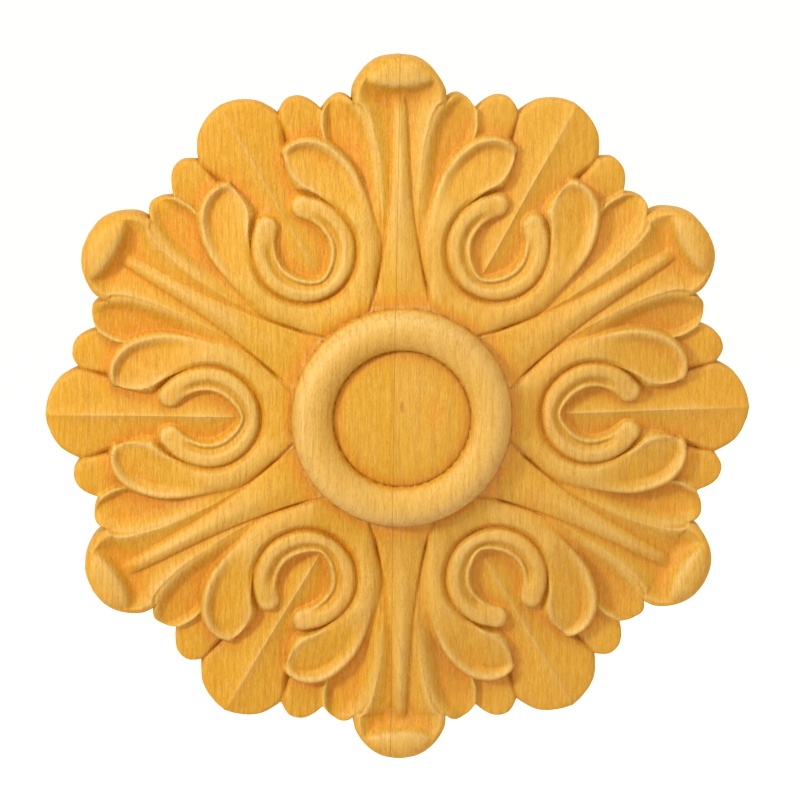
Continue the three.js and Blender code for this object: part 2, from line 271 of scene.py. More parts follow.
def beyond_plain_axis(points):
    """The same plan points on the other side of the plain leaf's axis."""
    c, s = math.cos(2 * half_angle), math.sin(2 * half_angle)
    return [[-c * x + s * y, s * x + c * y] for x, y in reversed(points)]


def ring_point(radius, degrees):
    """A plan point at an angle from the main leaf's axis."""
    angle = math.radians(degrees)
    return [radius * math.sin(angle), radius * math.cos(angle)]


def arch(share):
    """Rises from 0 at one side to 1 in the middle and back."""
    return np.clip(1 - (2 * share - 1) ** 2, 0, 1)


def ease(share):
    """Runs from 0 to 1, level at both ends."""
    share = np.clip(share, 0, 1)
    return share * share * (3 - 2 * share)


def beyond(across, width):
    """How far a point lies outside a form's width."""
    return np.clip(across - width, 0, None)


def width_along(points):
    """A form's half width along the axis, from the points of its edge."""
    return profile(*[(along, across) for across, along in points])


def fallen_edge(distance, width):
    """A quarter round at an edge, 1 at the edge and 0 from the width inwards."""
    share = np.clip(1 - distance / width, 0, 1)
    return 1 - np.sqrt(1 - share ** 2)


def beside(line, x, y):
    """Distance of plan points from a line, positive on its left, and the share of the line they lie at."""
    nearest = np.full(len(x), np.inf)
    side = np.zeros(len(x))
    share = np.zeros(len(x))
    for i, ((ax, ay), (bx, by)) in enumerate(zip(line, line[1:])):
        ux, uy = bx - ax, by - ay
        t = np.clip(((x - ax) * ux + (y - ay) * uy) / (ux * ux + uy * uy), 0, 1)
        dx, dy = x - ax - t * ux, y - ay - t * uy
        distance = np.hypot(dx, dy)
        closer = distance < nearest
        nearest = np.where(closer, distance, nearest)
        side = np.where(closer, ux * dy - uy * dx, side)
        share = np.where(closer, (i + t) / (len(line) - 1), share)
    return nearest * np.sign(side), share


class Carving:
    """Levels of every carved form over half of one main leaf."""

    # Widths in hundredths of the tip radius, depths and levels in hundredths of the relief
    ring_foot = 63
    cut_depth = 3.2
    cut_half_width = 0.75
    keel_half_width = 2.2
    scroll_groove_depth = 5
    scroll_groove_width = 1.9
    leaf_end = 101
    below_all = -20

    def __init__(self, sizes):
        self.sizes = sizes
        self.unit = sizes.tip_radius / 100
        self.level = (sizes.depth - sizes.edge) / 100
        # The leaves start a little inside the ring's foot
        self.root = (sizes.ring_outer - 1.5 * mm) / self.unit
        self.finger_form = self.finger()
        self.small_tip_form = self.small_tip()
        self.cup_form = self.cup()

    def relief(self, level):
        """A carved level as a height above the back in metres."""
        return self.sizes.edge + self.level * level

    def lobe(self, left, right, level, leans, starts=0.0, rows=190, columns=56):
        """A carved form between two lines, ready to be measured from above. The leans, in mm, say how
        far its left and right sides spread as they fall."""
        bm = bmesh.new()
        bmesh.ops.create_grid(bm, x_segments=rows, y_segments=columns, size=0.5)
        share = np.array([v.co[:2] for v in bm.verts]) + 0.5
        along = starts + (1 - starts) * share[:, 0]
        across = share[:, 1]
        start, end = left(along), right(along)
        span = np.linalg.norm(end - start, axis=1)
        plan = (start + (end - start) * across[:, None]) * self.unit
        height = self.relief(level(along, across, span * across, span * (1 - across)))
        lean = leans[0](along) * (1 - across) + leans[1](along) * across
        sideways = (start - end) / span[:, None]
        forward = np.stack([sideways[:, 1], -sideways[:, 0]], axis=1)
        # The sides lean outwards, each to its own side, and the end leans forward
        at_end = (share[:, 0] > 0.9999) * 2 * np.sqrt(across * (1 - across))
        way = sideways * (1 - 2 * across)[:, None] + forward * at_end[:, None]
        way = way / np.maximum(np.linalg.norm(way, axis=1), 0.01)[:, None] * lean[:, None] * mm
        for vert, (x, y), z in zip(bm.verts, plan, height):
            vert.co = (x, y, z)
        self.leaning_sides(bm, way)
        tree = BVHTree.FromBMesh(bm)
        bm.free()
        return tree

    def leaning_sides(self, bm, way, drop=9 * mm):
        """Adds walls that lean out from a form's border, down into its neighbours."""
        foot = {tuple(v.co): (*way[v.index], -drop) for v in bm.verts if v.is_boundary}
        border = [e for e in bm.edges if e.is_boundary]
        made = bmesh.ops.extrude_edge_only(bm, edges=border)["geom"]
        for vert in [g for g in made if isinstance(g, bmesh.types.BMVert)]:
            vert.co += Vector(foot[tuple(vert.co)])

    def stem(self, across, along):
        """The stem in the middle of the leaf, bevelled to both sides and falling away to the tip."""
        top = profile((self.root, self.ring_foot), (35, 61), (46, 57), (57, 52), (70, 41), (77, 33),
                      (81, 27.5), (85, 21.5), (88, 15), (90, 9), (92, 2))
        width = width_along(stem_groove)(along) - 0.45
        inside = np.clip(across / width, 0, 1)
        bevel = profile((self.root, 1.5), (40, 5), (71, 7), (84, 4), (90, 0.5))
        wall = profile((36, 9), (54, 18))
        return top(along) - bevel(along) * inside ** 1.6 - wall(along) * beyond(across, width)

    def stem_line(self, across, along, radius):
        """Depth of the thin cut that carries the groove beside the stem on to the ring."""
        away = np.abs(across - width_along(stem_groove)(along))
        reach = ease((radius - self.root - 0.6) / 1.2) * ease((47 - along) / 11)
        return self.cut_depth * reach * np.clip(1 - away / self.cut_half_width, 0, 1)

    def main_leaf(self, across, along):
        """The channel beside the stem, rising to the ridge between the leaf and its finger."""
        floor = profile((36, 44), (46, 44), (56, 40), (70, 29), (80, 19.5), (86, 13), (90, 9),
                        (93, 9), (100, 0))(along)
        ridge = profile((36, 44), (46, 46), (56, 45), (68, 38), (78, 31), (84, 27), (88, 25),
                        (94, 26), (100, 18))(along)
        width = width_along([*leaf_ridge, [13.1, 89], *knob_edge])(along)
        share = across / np.maximum(width, 0.6)
        crest = profile((80, 0.96), (87, 0.86))(along)
        past_crest = np.clip((share - crest) / (1 - crest), 0, 1)
        fallen = profile((60, 1.2), (80, 2), (88, 6))(along) * past_crest ** 1.6
        channel = floor + (ridge - floor) * np.clip(share / crest, 0, 1) ** 2.3
        channel = channel - fallen - 22 * beyond(across, width)
        return np.where(along > self.leaf_end, self.below_all, channel)

    def knob(self, across, along):
        """The leaf's tip, rolled up into a ball with a bowed lower edge."""
        bow = 1.4 * np.clip(across / 9.0, 0, 1.3) ** 2
        place = along - bow * np.clip((98 - along) / 5, 0, 1)
        rise = profile((84, 3), (86, 6), (88, 10.5), (89.4, 15), (90.5, 21), (91.3, 27.5), (92, 33),
                       (92.8, 36), (94, 37.4), (95.4, 37.3), (97, 35.5), (98.3, 32), (99.3, 27.5),
                       (100, 21), (101, 0))
        half = profile((84, 10.5), (88, 12.2), (90.6, 12.7), (93.6, 11.5), (97.2, 8.5), (99.2, 5.2),
                       (100.4, 1))(along)
        share = np.clip(across / (half + 0.5), 0, 1)
        return rise(place) * (1 - share ** 3) ** 0.5 - 30 * beyond(across, half)

    def plain_leaf(self, across, along):
        """The plain leaf with its sharp keel; across and along are about its own axis."""
        ridge = profile((38, 40), (46, 39), (56, 34), (65, 25.5), (75, 17.5), (90, 10), (97, 6.5),
                        (100, 3.5))
        keel = profile((38, 1.5), (52, 3.5), (85, 4), (96, 2), (100, 0.5))
        fall = profile((38, 7), (50, 9), (65, 9), (80, 7.5), (95, 5.5), (100, 4))
        side = width_along(plain_leaf_side)(along)
        share = np.clip(across / np.maximum(side, 1), 0, 1)
        bevel = 4.5 * np.clip((across - side + 1.5) / 1.4, 0, 1) ** 1.3 * ease((97 - along) / 6)
        middle = ridge(along) + keel(along) * np.exp(-across / self.keel_half_width)
        return middle - fall(along) * share ** 0.8 - bevel - 12 * beyond(across, side - 0.1)

    def finger(self):
        """The finger beside the knob, a narrow scoop with raised rims."""
        left_rim = profile((0, 46), (0.19, 46), (0.416, 42), (0.615, 34), (0.78, 27), (0.9, 22),
                           (0.94, 19), (1, 14))
        right_rim = profile((0, 45), (0.22, 44), (0.4, 36), (0.5, 29.5), (0.6, 24), (0.7, 20),
                            (0.78, 18), (0.86, 16), (0.92, 13), (1, 5))
        hollow = profile((0, 0), (0.22, 0), (0.38, 4), (0.55, 9.5), (0.7, 12.5), (0.82, 13),
                         (0.92, 9), (1, 4))

        def level(along, across, from_left, from_right):
            rim = left_rim(along) + (right_rim(along) - left_rim(along)) * across
            scoop = ease((from_left - 0.5) / 4.2) * ease((from_right - 0.3) / 2.4)
            return rim - hollow(along) * scoop - 4 * fallen_edge(from_right, 0.9)

        leans = profile((0, 2), (1, 2)), profile((0, 6), (1, 6))
        return self.lobe(smooth_line([*leaf_ridge, [14.5, 90.5]]),
                         smooth_line([*finger_groove, [21.8, 85.5], [20, 90]]), level, leans)

    def small_tip(self):
        """The small flat tip that lies lowest, under the cup."""
        crown = profile((0, 7), (0.5, 6), (0.85, 4), (1, 2))

        def level(along, across, from_left, from_right):
            return (crown(along) + 2 * arch(across)
                    - 4 * fallen_edge(from_left, 1.0) - 6 * fallen_edge(from_right, 1.5))

        lean = profile((0, 5), (1, 5))
        return self.lobe(smooth_line([[20.4, 74], [21.2, 81.5], [21.7, 84.9], [24, 90]]),
                         smooth_line([[30.2, 74], [31.9, 79], [33.4, 83.6], [33, 90]]),
                         level, (lean, lean), rows=60, columns=40)

    def cup(self):
        """A broad band beside the scroll that opens into a hollow with a hooked tip."""
        left_rim = profile((0, 62), (0.12, 60), (0.22, 53), (0.3, 48), (0.4, 44.5), (0.47, 43.5),
                           (0.56, 41), (0.66, 37), (0.74, 33), (0.81, 30), (0.9, 27), (0.95, 24.5),
                           (0.98, 21), (1, 14))
        right_rim = profile((0, 48), (0.3, 47), (0.45, 45), (0.6, 41), (0.75, 38), (0.83, 35), (0.9, 30),
                            (0.96, 25), (1, 14))
        swell = profile((0, 9), (0.22, 9), (0.3, 10), (0.45, 9), (0.6, 3), (0.7, 0), (1, 0))
        dish = profile((0, 0), (0.45, 0), (0.56, 4), (0.68, 11), (0.8, 17), (0.9, 17), (0.96, 10), (1, 1))

        def level(along, across, from_left, from_right):
            rim = left_rim(along) + (right_rim(along) - left_rim(along)) * across
            inside = ease((from_left - 0.5) / 3.6) * ease((from_right + 1.3) / 3.0)
            bowl = inside * (1 - 0.75 * across)
            bead = 5.5 * ease((along - 0.42) / 0.12) * fallen_edge(from_left, 1.2)
            return rim + swell(along) * arch(across) ** 0.75 - dish(along) * bowl - bead

        foot = [ring_point(self.root, degrees) for degrees in (30, 23, 16.5)]
        leans = (profile((0, 5), (0.22, 5), (0.36, 2), (0.5, 3.2), (0.9, 3.2), (1, 2)),
                 profile((0, 2), (0.66, 3), (0.8, 7), (0.95, 6), (1, 2.5)))
        return self.lobe(smooth_line([*foot, *cup_side, *cup_top], lead=beyond_plain_axis(foot[1:])),
                         smooth_line([*cup_foot, *hook_side], lead=beyond_plain_axis(cup_foot[1:3])),
                         level, leans, starts=-0.04, rows=260, columns=60)

    def scroll(self, across, along):
        """The C-shaped scroll around the eye, with a blunt end, and how far a point lies outside it."""
        crest = profile((0, 59), (0.1, 59), (0.35, 57), (0.6, 52), (0.8, 45), (1, 38))
        half = profile((0, 2.4), (0.1, 2.6), (0.33, 3.25), (0.55, 3.4), (0.75, 3.3), (0.9, 3.25), (1, 3.2))
        section = profile((-1, 10), (-0.95, 7.4), (-0.88, 6), (-0.77, 5.9), (-0.67, 7.2), (-0.5, 9),
                          (-0.3, 7), (0, 1.5), (0.25, 0), (0.5, 0.3), (0.7, 1.3), (0.85, 3.2),
                          (0.94, 5), (1, 7))
        round_end = profile((0, 0), (0.5, 0.9), (0.75, 2.6), (0.9, 5), (1, 8.5))
        line = smooth_line(scroll_line, lead=beyond_plain_axis(scroll_line[1:3]))(np.linspace(-0.1, 1, 100))
        distance, share = beside(line, across, along)
        width = half(share)
        place = distance / width
        plain = ease((share - 0.72) / 0.24)
        drop = section(place) * (1 - plain) + round_end(np.abs(place)) * plain
        outside = np.abs(distance) - width
        side = np.where(distance > 0, 13, 11) * (1 - plain) + 11 * plain
        level = crest(share) - drop - side * np.clip(outside, 0, None)
        return level, np.where(distance > 0, outside, np.inf)

    def ring(self, radius):
        """The ring's round section and the domed button, by the distance from the centre in metres."""
        s = self.sizes
        middle, half = (s.ring_outer + s.ring_inner) / 2, (s.ring_outer - s.ring_inner) / 2
        crease = s.depth - s.crease
        place = np.clip((radius - middle) / half, -1, 1)
        base = crease + (self.relief(self.ring_foot) - crease) * (1 + place) / 2
        section = base + (s.depth - base) * np.sqrt(1 - place ** 2) ** 0.95
        section = section - beyond(radius, s.ring_outer) * 6
        share = np.clip(radius / (s.ring_inner - 0.3 * mm), 0, 1)
        button = crease + s.button_rise * (1 - share ** 2.6) ** 0.55
        return np.where(radius < s.ring_inner, button, section)

    def core(self, radius):
        """The wood left standing under all the forms."""
        return profile((0, 58), (self.root, 58), (38, 42), (60, 22), (76, -2), (101, -6))(radius)

    def blended(self, a, b, softness=None):
        """The higher of two surfaces, with a small fillet where they cross."""
        softness = softness or self.sizes.groove_softness
        near = np.clip(softness - np.abs(a - b), 0, None) / softness
        return np.maximum(a, b) + near * near * softness / 4

    def height(self, x, y):
        """Height above the back of plan points in the half leaf, in metres."""
        radius = np.hypot(x, y)
        angle = half_angle - np.arctan2(x, y)
        across, along = x / self.unit, y / self.unit
        plain_across = np.abs(radius * np.sin(angle)) / self.unit
        plain_along = radius * np.cos(angle) / self.unit
        scroll, beside_scroll = self.scroll(across, along)
        cup = self.measured(self.cup_form, x, y)
        groove = np.clip(1 - beside_scroll / self.scroll_groove_width, 0, 1)
        cup -= self.level * self.scroll_groove_depth * groove
        forms = [
            self.relief(self.plain_leaf(plain_across, plain_along)),
            self.relief(self.main_leaf(across, along)),
            self.relief(self.stem(across, along)),
            self.measured(self.finger_form, x, y),
            self.measured(self.small_tip_form, x, y),
            cup,
            self.relief(scroll),
            np.where(radius < self.sizes.ring_outer + 2 * mm, self.ring(radius), 0),
        ]
        top = self.relief(self.core(radius / self.unit))
        for form in forms:
            top = self.blended(top, form)
        top = self.blended(top, self.relief(self.knob(across, along)), self.sizes.knob_softness)
        top -= self.level * self.stem_line(across, along, radius / self.unit)
        return np.minimum(top, self.sizes.depth - 0.01 * mm)

    def measured(self, tree, x, y):
        """A form's height, looked up from above; points beside it have none."""
        down = Vector((0, 0, -1))
        found = np.zeros(len(x))
        for i, (px, py) in enumerate(zip(x.tolist(), y.tolist())):
            hit = tree.ray_cast(Vector((px, py, 1)), down)[0]
            if hit is not None:
                found[i] = hit.z
        return found


def outline_radius(angles, tip_radius):
    """Distance from the centre to the sawn outline, at angles from the main leaf's axis."""
    knob_notch, finger_notch = leaf_ridge[-1], finger_edge[-1]
    c, s = math.cos(half_angle), math.sin(half_angle)
    plain = [[-c * x + s * y, s * x + c * y] for x, y in plain_leaf_edge]
    arcs = [[knob_notch, *knob_edge], [knob_notch, *finger_edge], [finger_notch, *small_tip_edge],
            [small_tip_edge[-1], *plain]]
    points = np.concatenate([smooth_line(arc)(np.linspace(0, 1, 200)) for arc in arcs])
    found = np.degrees(np.arctan2(points[:, 0], points[:, 1]))
    order = np.argsort(found)
    radius = np.hypot(points[:, 0], points[:, 1])[order] * tip_radius / 100
    return np.interp(np.degrees(angles), found[order], radius)


def half_leaf(sizes):
    """Half of one main leaf, carved, as a sheet from its axis to the plain leaf's axis."""
    carving = Carving(sizes)
    rim_rows = 4
    columns = round(half_angle * sizes.tip_radius / sizes.chisel_step)
    rows = round(sizes.tip_radius / sizes.chisel_step)
    bm = bmesh.new()
    bmesh.ops.create_grid(bm, x_segments=columns, y_segments=rows, size=0.5)
    share = np.clip(np.array([v.co[:2] for v in bm.verts]) + 0.5, 0, 1)
    angle = share[:, 0] * half_angle
    rim = outline_radius(angle, sizes.tip_radius)
    from_rim = np.clip((1 - share[:, 1]) * rows, 0, None)
    inwards = sizes.edge_round * (from_rim / rim_rows) ** 2
    rest = (share[:, 1] * rows) / (rows - rim_rows)
    radius = np.where(from_rim < rim_rows, rim - inwards, (rim - sizes.edge_round) * rest)
    x, y = radius * np.sin(angle), radius * np.cos(angle)
    height = carving.height(x, y)
    height -= sizes.edge_round * fallen_edge(rim - radius, sizes.edge_round)
    for vert, px, py, pz in zip(bm.verts, x, y, height):
        vert.co = (px, py, pz)
    bmesh.ops.remove_doubles(bm, verts=bm.verts, dist=0.002 * mm)
    return bm


def thinned(bm, face_count):
    """The same sheet with fewer triangles, kept where the surface bends."""
    bmesh.ops.triangulate(bm, faces=bm.faces)
    ratio = face_count / len(bm.faces)
    mesh = bpy.data.meshes.new("half_leaf")
    bm.to_mesh(mesh)
    bm.free()
    sheet = bpy.data.objects.new("half_leaf", mesh)
    bpy.context.collection.objects.link(sheet)
    modifier = sheet.modifiers.new("Thin", "DECIMATE")
    modifier.ratio = ratio
    evaluated = sheet.evaluated_get(bpy.context.evaluated_depsgraph_get())
    thin = bmesh.new()
    thin.from_mesh(evaluated.to_mesh())
    evaluated.to_mesh_clear()
    bpy.data.objects.remove(sheet)
    bpy.data.meshes.remove(mesh)
    return thin


def onto_axes(bm, reach=0.12 * mm):
    """Moves the sheet's border that lies by either axis exactly onto it."""
    plain = Vector((math.sin(half_angle), math.cos(half_angle)))
    for vert in [v for v in bm.verts if v.is_boundary]:
        flat = vert.co.xy
        if abs(flat.x) < reach:
            flat = Vector((0, flat.y))
        elif (flat - plain * flat.dot(plain)).length < reach:
            flat = plain * flat.dot(plain)
        vert.co.xy = flat


def all_round(bm):
    """Mirrors the half leaf about its axis and repeats the leaf round the centre."""
    bmesh.ops.mirror(bm, geom=bm.verts[:] + bm.edges[:] + bm.faces[:], axis="X", merge_dist=0.003 * mm)
    bmesh.ops.spin(bm, geom=bm.verts[:] + bm.edges[:] + bm.faces[:], axis=(0, 0, 1), cent=(0, 0, 0),
                   angle=math.tau - leaf_angle, steps=leaf_count - 1, use_duplicate=True)
    bmesh.ops.remove_doubles(bm, verts=bm.verts, dist=0.006 * mm)


def close_back(bm):
    """Runs the rim straight down to the wall and closes the flat back."""
    rim = [e for e in bm.edges if e.is_boundary]
    made = bmesh.ops.extrude_edge_only(bm, edges=rim)["geom"]
    for vert in [g for g in made if isinstance(g, bmesh.types.BMVert)]:
        vert.co.z = 0
    foot = [g for g in made if isinstance(g, bmesh.types.BMEdge)]
    bmesh.ops.triangle_fill(bm, edges=foot, use_beauty=True, normal=(0, 0, -1))


def hollows(bm, pitch=0.75 * mm):
    """How far each point lies below its near and its wide surroundings, in metres."""
    tree = BVHTree.FromBMesh(bm)
    reach = max(max(abs(v.co.x), abs(v.co.y)) for v in bm.verts) + 4 * pitch
    count = int(2 * reach / pitch)
    line = np.linspace(-reach, reach, count)
    down = Vector((0, 0, -1))
    height = np.zeros((count, count))
    for i, y in enumerate(line):
        for j, x in enumerate(line):
            hit = tree.ray_cast(Vector((x, y, 1)), down)[0]
            if hit is not None:
                height[i, j] = hit.z
    on_wood = (height > 0).astype(float)

    def blurred(sigma):
        """The mean level around each place, and how much of its surroundings is wood."""
        reach_steps = math.ceil(3 * sigma / pitch)
        steps = np.arange(-reach_steps, reach_steps + 1)
        kernel = np.exp(-0.5 * (steps * pitch / sigma) ** 2)
        spread = []
        for field in (height, on_wood):
            for _ in range(2):
                field = np.apply_along_axis(np.convolve, 0, field, kernel, mode="same").T
            spread.append(field)
        level = spread[0] / np.maximum(spread[1], 1e-9)
        share = spread[1] / spread[1].max()
        return level, np.clip(2 * share - 1, 0, 1)

    places = (np.array([v.co[:2] for v in bm.verts]) + reach) / (line[1] - line[0])
    corner = np.clip(places.astype(int), 0, count - 2)
    part = places - corner

    def sampled(field):
        """A field's values at the piece's own points."""
        j, i = corner.T
        u, v = part.T
        low = field[i, j] * (1 - u) + field[i, j + 1] * u
        high = field[i + 1, j] * (1 - u) + field[i + 1, j + 1] * u
        return low * (1 - v) + high * v

    own = np.array([v.co.z for v in bm.verts])
    found = []
    for sigma in (near_width, wide_width):
        level, inland = blurred(sigma)
        found.append((sampled(level) - own) * sampled(inland))
    return found


def upright(bm):
    """Turns the drawing board's plan up against the wall: the back at Y = 0, the carving to -Y."""
    bmesh.ops.transform(bm, verts=bm.verts, matrix=Matrix.Rotation(math.pi / 2, 4, "X"))


class Socket:
    """An output of a material's nodes that adds, subtracts, multiplies and divides like a number."""

    def __init__(self, finish, output):
        self.finish = finish
        self.output = output

    def maths(self, operation, *values):
        slots = dict(enumerate(values))
        return self.finish.node("ShaderNodeMath", {"operation": operation}, slots)

    def put_through(self, operation):
        """The result of a maths operation that takes one number."""
        return self.maths(operation, self)

    def __add__(self, other):
        return self.maths("ADD", self, other)

    def __radd__(self, other):
        return self.maths("ADD", other, self)

    def __sub__(self, other):
        return self.maths("SUBTRACT", self, other)

    def __rsub__(self, other):
        return self.maths("SUBTRACT", other, self)

    def __mul__(self, other):
        return self.maths("MULTIPLY", self, other)

    def __rmul__(self, other):
        return self.maths("MULTIPLY", other, self)

    def __truediv__(self, other):
        return self.maths("DIVIDE", self, other)

    def clamped(self):
        return self.finish.node("ShaderNodeClamp", {}, {"Value": self})

    def step(self, low, high):
        """0 below low, 1 above high and smooth between them."""
        settings = {"interpolation_type": "SMOOTHSTEP"}
        values = {"Value": self, "From Min": low, "From Max": high}
        return self.finish.node("ShaderNodeMapRange", settings, values)


class Finish:
    """One material and its nodes."""

    def __init__(self, name):
        self.material = bpy.data.materials.new(name)
        self.material.use_nodes = True
        self.nodes = self.material.node_tree.nodes
        self.nodes.clear()

    def node(self, kind, settings=None, values=None, output=0):
        """Adds a node of a kind, with its settings and the values or links of its sockets."""
        made = self.nodes.new(kind)
        for key, value in (settings or {}).items():
            setattr(made, key, value)
        for key, value in (values or {}).items():
            if isinstance(value, Socket):
                self.material.node_tree.links.new(value.output, made.inputs[key])
            else:
                made.inputs[key].default_value = value
        return Socket(self, made.outputs[output])

    def place(self):
        """A point's place in the piece's own frame, in metres."""
        return self.node("ShaderNodeTexCoord", output="Object")

    def axes(self, vector):
        parts = self.node("ShaderNodeSeparateXYZ", {}, {"Vector": vector})
        return [Socket(self, out) for out in parts.output.node.outputs]

    def stretched(self, vector, scale):
        return self.node("ShaderNodeMapping", {}, {"Vector": vector, "Scale": scale})

    def noise(self, place, scale, detail, roughness=0.5):
        """Noise with its own scale along each axis."""
        vector = self.stretched(place, scale)
        values = {"Vector": vector, "Scale": 1.0, "Detail": detail, "Roughness": roughness}
        return self.node("ShaderNodeTexNoise", {}, values)

    def mixed(self, share, first, second):
        """A colour between two; the mix node's colours are its sockets 6 and 7 and its output 2."""
        settings = {"data_type": "RGBA", "clamp_factor": True}
        first, second = (v if isinstance(v, Socket) else (*v, 1.0) for v in (first, second))
        return self.node("ShaderNodeMix", settings, {0: share, 6: first, 7: second}, output=2)

    def layered(self, colour, layers):
        """A colour under thin layers, each given as its share and its colour."""
        for share, tint in layers:
            colour = self.mixed(share, colour, tint)
        return colour

    def attribute(self, name):
        return self.node("ShaderNodeAttribute", {"attribute_name": name}, output="Fac")

    def mark(self, x, z, middle, half):
        """1 inside an upright oval, fading to 0 at its border."""
        across, up = (x - middle[0]) / half[0], (z - middle[1]) / half[1]
        return 1 - (across * across + up * up).step(0.1, 1.0)

    def finished(self, colour, roughness, bump, bump_depth, **constants):
        """The material with its surface, its bump and the output."""
        bumped = self.node("ShaderNodeBump", {}, {"Height": bump, "Distance": bump_depth, "Strength": 1.0})
        values = {"Base Color": colour, "Roughness": roughness, "Normal": bumped, **constants}
        surface = self.node("ShaderNodeBsdfPrincipled", {}, values)
        end = self.nodes.new("ShaderNodeOutputMaterial")
        self.material.node_tree.links.new(surface.output, end.inputs["Surface"])
        return self.material


def boards(finish, place):
    """Whether a point is in the right board, the joint line, and its place in the growth ring."""
    x, y, z = finish.axes(place)
    from_joint = x + y * joint_lean_deep + z * joint_lean_up + joint_place
    right = (from_joint / (0.1 * mm) + 0.5).clamped()
    line = 1 - (from_joint.put_through("ABSOLUTE") / joint_half_width).clamped()
    sway = finish.noise(place, (7, 7, 3), 1.0) - 0.5
    fine_sway = finish.noise(place, (50, 50, 8), 2.0) - 0.5
    across = x + right * 0.09 - 0.06 + sway * 0.03
    deep = y * 0.3 - 0.16
    from_pith = (across * across + deep * deep).put_through("SQRT")
    year = (from_pith + fine_sway * year_sway) / year_width
    return right, line, year.put_through("FRACT")


def ray_flecks(finish, place):
    """Short dark flecks that stand along the grain, denser in some streaks than in others."""
    near = finish.node("ShaderNodeTexVoronoi", {}, {
        "Vector": finish.stretched(place, (1500, 40, 520)), "Scale": 1.0, "Randomness": 1.0})
    streak = finish.noise(place, (170, 30, 22), 2.0)
    return (1 - near.step(0.16, 0.42)) * streak.step(0.2, 0.6)


def carved_beech(colours):
    """Oiled beech: honey wood with growth rings, ray flecks, paler worn crests and orange stained hollows
    and grooves, with painted shade mixed into the hollows and grooves, a painted highlight on thin rims and
    painted light on the eye's floor.
    """
    finish = Finish("carved_beech")
    place = finish.place()
    right, line, ring = boards(finish, place)
    groove = finish.attribute("groove")
    valley = finish.attribute("valley")
    slow = finish.noise(place, (22, 22, 9), 2.0)
    patch = finish.noise(place, (55, 55, 24), 2.0)
    grain = finish.noise(place, (900, 60, 26), 3.0, 0.6)
    strokes = finish.noise(place, (1650, 500, 200), 3.0, 0.6)
    fibre = finish.noise(place, (1600, 700, 110), 2.0)
    fleck = ray_flecks(finish, place)
    late = ring.step(0.4, 0.95) * (1 - ring.step(0.95, 1.0))

    x, y, z = finish.axes(place)
    # 1 on the lowest levels of the relief: these take more of the painted shade and staining, and less of
    #                                       the pale wood
    low = (y / (26 * mm) + 1.31).clamped()
    # Painted shade with staining: orange laid where the surface lies below its wide surroundings, in the
    # cups and under rims and knobs, less of it in the deepest valleys
    valley_stain_and_painted_shade = valley.step(0.0, 1.8 * mm) * (1 - valley.step(1.8 * mm, 3.0 * mm) * 0.85)
    stain_and_painted_shade = (valley_stain_and_painted_shade * 0.62 + low * 0.15 + (slow - 0.5) * 0.5).clamped()
    # Painted shade with staining, darkest down in the narrow grooves
    deep = ((groove - 0.2 * mm) / (1.2 * mm)).clamped()
    # Painted light: paler wood on the floor of the deep eye, against the shade that falls there
    floor = valley.step(1.9 * mm, 3.2 * mm)
    # Painted highlight: pale wood along thin raised rims
    rim = (groove / (-0.7 * mm)).clamped()
    standing = valley / (-3.0 * mm)
    # Paler wood, worn where the surface stands above its surroundings, plus the painted highlight on rims
    # and the painted light in the eye
    rubbed_and_painted_light = (standing + rim * 0.7 + floor * 1.8 + 0.1 - low * 0.2 + (patch - 0.5) * 0.9).clamped()
    wood = finish.layered(colours.honey, [
        # Pale wear with painted highlight and painted light
        (rubbed_and_painted_light * 0.9, colours.crest),
        # Orange of staining and painted shade in the hollows
        (stain_and_painted_shade * 0.85, colours.hollow),
        # Darkest staining and painted shade down the grooves
        (deep * 0.5, colours.crevice),
        (finish.mark(x, z, *reddish_mark) * 0.55, colours.fleck),
        (finish.mark(x, z, *orange_patch) * 0.4, colours.hollow),
        (late * 0.15, colours.fleck),
        (grain.step(0.42, 0.72) * 0.22, colours.fleck),
        (strokes.step(0.5, 0.7) * 0.45, colours.crest),
        ((1 - strokes.step(0.32, 0.5)) * 0.26, colours.fleck),
        (fleck * 0.3, colours.fleck),
        (line * 0.8, colours.fleck),
        (right * 0.1, colours.crest),
    ])
    roughness = 0.54 + fibre * 0.1 + stain_and_painted_shade * 0.08 - rubbed_and_painted_light * 0.06
    bump = fibre * 0.3 + grain * 0.2 - fleck * 0.5 - line * 0.5
    return finish.finished(wood, roughness, bump, 0.06 * mm, IOR=1.32)


def sawn_beech(colours):
    """Bare sawn wood, with the saw's arcs across the grain."""
    finish = Finish("sawn_beech")
    place = finish.place()
    right, line, ring = boards(finish, place)
    x, _, z = finish.axes(place)
    late = ring.step(0.5, 0.97) * (1 - ring.step(0.97, 1.0))
    wobble = finish.noise(place, (40, 40, 40), 2.0)
    arcs = ((z + x * x * 1.2 + wobble * (1.6 * mm)) / saw_pitch).put_through("SINE")
    fibre = finish.noise(place, (700, 700, 25), 3.0)
    fleck = ray_flecks(finish, place)
    wood = finish.layered(colours.sawn, [
        (fibre.step(0.3, 0.8) * 0.5, colours.crest),
        (late * 0.2, colours.fleck),
        (fleck * 0.35, colours.fleck),
        (line * 0.6, colours.crevice),
        (right * 0.12, colours.sawn),
    ])
    bump = arcs * 0.3 + fibre * 0.6 - fleck * 0.2
    return finish.finished(wood, 0.72 + fibre * 0.1, bump, 0.12 * mm)


def lies_on_wall(face):
    return all(vert.co.y > -0.001 * mm for vert in face.verts)


